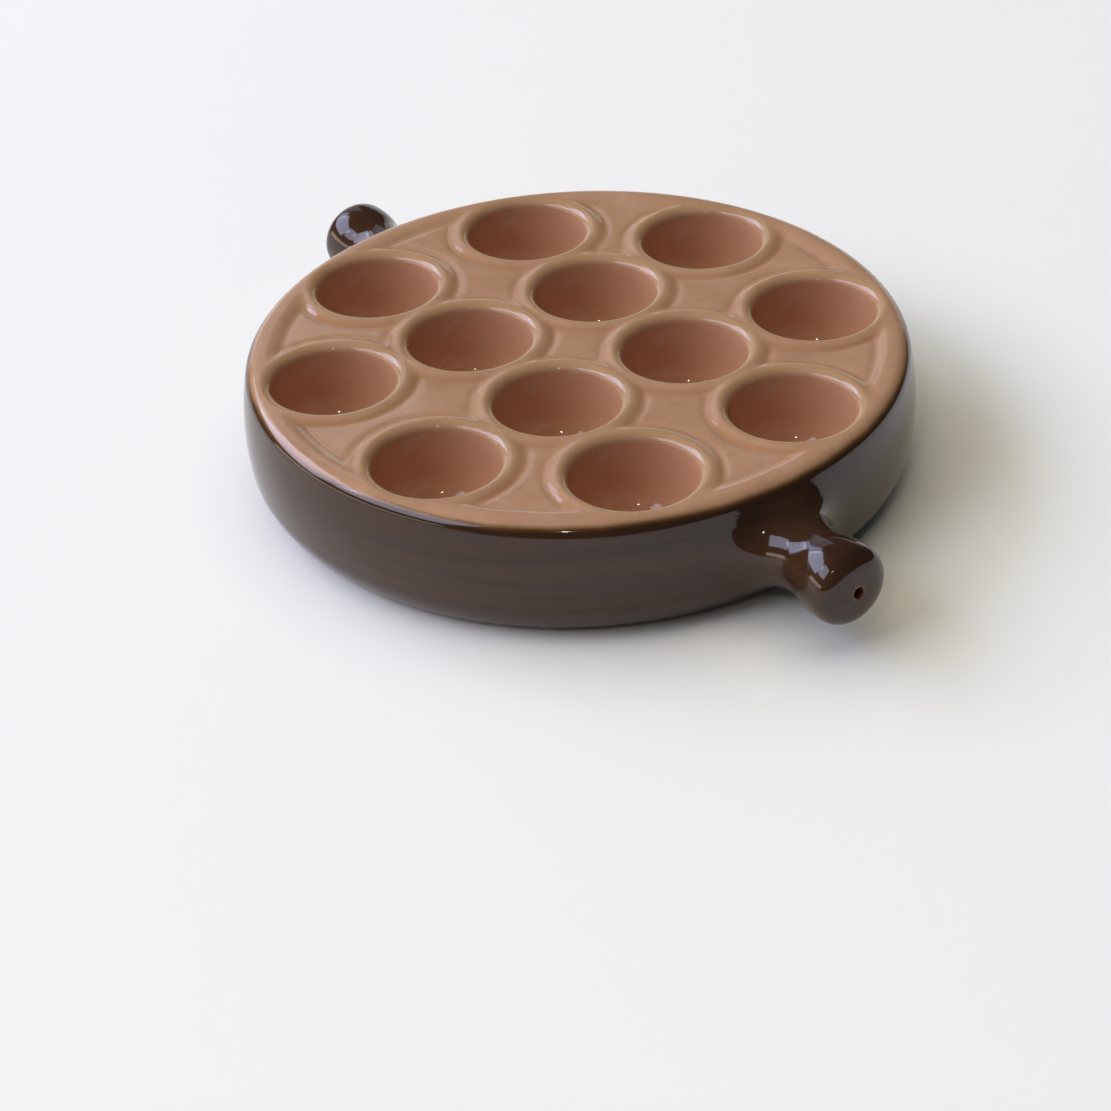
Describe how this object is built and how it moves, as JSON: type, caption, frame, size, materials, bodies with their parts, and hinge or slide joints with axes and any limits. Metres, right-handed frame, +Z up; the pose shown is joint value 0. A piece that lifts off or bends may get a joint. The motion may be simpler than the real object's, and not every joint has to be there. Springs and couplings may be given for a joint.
{
  "type": "escargot plate",
  "caption": "Round, deep escargot plate with a central and an outer ring of snail wells, sunk panels between them, and two hollow knob handles; tan glaze on top, dark brown sides.",
  "frame": {"origin": "centre of the foot, on the surface that the plate stands on", "axes": "+Z up, +X along the two handles, +Y across them"},
  "size_m": [0.2484, 0.1892, 0.037],
  "materials": {
    "glazed_stoneware": "glossy"
  },
  "bodies": {
    "root": {"plate": "glazed_stoneware"}
  },
  "joints": []
}
